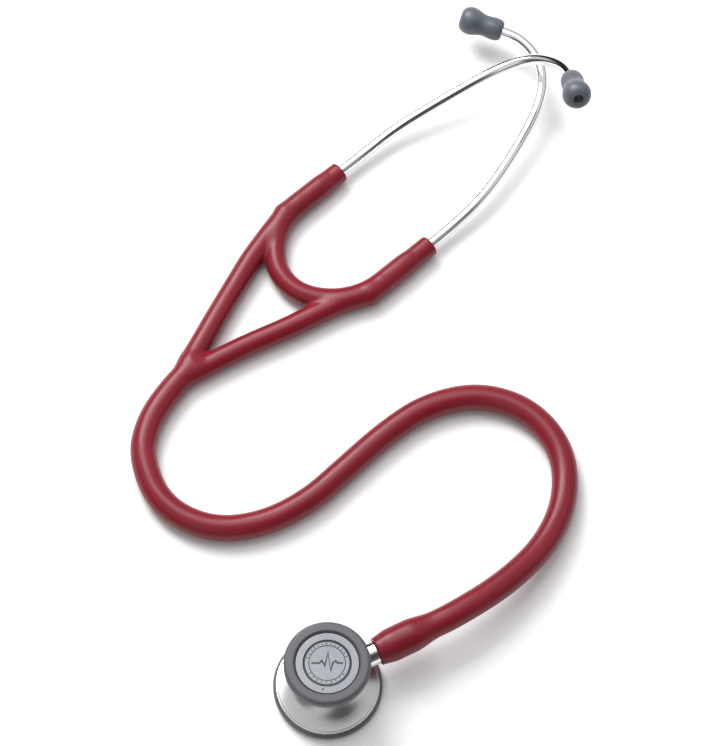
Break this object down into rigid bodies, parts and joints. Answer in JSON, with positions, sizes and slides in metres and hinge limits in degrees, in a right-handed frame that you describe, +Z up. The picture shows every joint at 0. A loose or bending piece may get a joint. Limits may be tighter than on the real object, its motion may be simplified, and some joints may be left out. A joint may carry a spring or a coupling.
{
  "type": "stethoscope",
  "caption": "Dual-head acoustic stethoscope: turning chestpiece, dual-lumen hose, moulded fork, leaf-sprung headset with curved ear tubes and soft ear tips",
  "frame": {"origin": "centre of the adult listening face, which rests flat on the surface", "axes": "+Y runs from the chestpiece to the headset, +Z up, +X to the right of it"},
  "size_m": [0.2008, 0.3413, 0.0507],
  "materials": {
    "steel": "brushed stainless steel",
    "polished_steel": "polished stainless steel",
    "spring_steel": "bright spring steel",
    "seal_rubber": "black nitrile rubber",
    "rim_rubber": "soft grey rubber, satin",
    "surround_rubber": "thin flexible rubber",
    "diaphragm_resin": "glass-epoxy sheet, satin grey",
    "tubing_pvc": "burgundy flexible vinyl, soft gloss",
    "chromed_tube": "polished tube",
    "tip_rubber": "soft blue-grey silicone rubber"
  },
  "bodies": {
    "tubing": {"hose": "tubing_pvc", "hose_cuff": "tubing_pvc", "yoke": "tubing_pvc", "binaural_spring": "spring_steel", "stem": "polished_steel", "stem_o_ring": "seal_rubber", "detent_ball": "polished_steel", "detent_spring": "spring_steel"},
    "chestpiece": {"chestpiece_body": "steel", "adult_rim": "rim_rubber", "adult_surround": "surround_rubber", "paediatric_rim": "rim_rubber", "paediatric_surround": "surround_rubber", "stem_retaining_ring": "spring_steel"},
    "adult_diaphragm_body": {"adult_diaphragm": "diaphragm_resin"},
    "paediatric_diaphragm_body": {"paediatric_diaphragm": "diaphragm_resin"},
    "left_arm": {"left_sleeve": "tubing_pvc", "left_spring_saddle": "spring_steel", "left_ear_tube": "chromed_tube", "left_ear_tip": "tip_rubber"},
    "right_arm": {"right_sleeve": "tubing_pvc", "right_spring_saddle": "spring_steel", "right_ear_tube": "chromed_tube", "right_ear_tip": "tip_rubber"}
  },
  "joints": [
    {"name": "chestpiece_turn", "type": "hinge", "parent": "tubing", "child": "chestpiece", "pos_m": [0, 0, 0.0155], "axis": [0.8944, 0.4472, 0], "continuous": true},
    {"name": "adult_press", "type": "slide", "parent": "chestpiece", "child": "adult_diaphragm_body", "axis": [0, 0, 1], "range_m": [0, 0.0005], "stiffness_N_per_m": 6000},
    {"name": "paediatric_press", "type": "slide", "parent": "chestpiece", "child": "paediatric_diaphragm_body", "axis": [0, 0, -1], "range_m": [0, 0.0004], "stiffness_N_per_m": 6000},
    {"name": "headset_spread", "type": "hinge", "parent": "tubing", "child": "left_arm", "pos_m": [-0.01927, 0.2178, 0.0056], "axis": [0, 0, 1], "range_deg": [-2, 40], "stiffness_Nm_per_rad": 0.45, "deforming": ["binaural_spring"]},
    {"name": "right_arm_spread", "type": "hinge", "parent": "tubing", "child": "right_arm", "pos_m": [0.01741, 0.17818, 0.0056], "axis": [0, 0, 1], "range_deg": [-40, 2], "stiffness_Nm_per_rad": 0.45, "deforming": ["binaural_spring"]}
  ],
  "couplings": [
    {"joint": "right_arm_spread", "follows": "headset_spread", "ratio": -1}
  ]
}
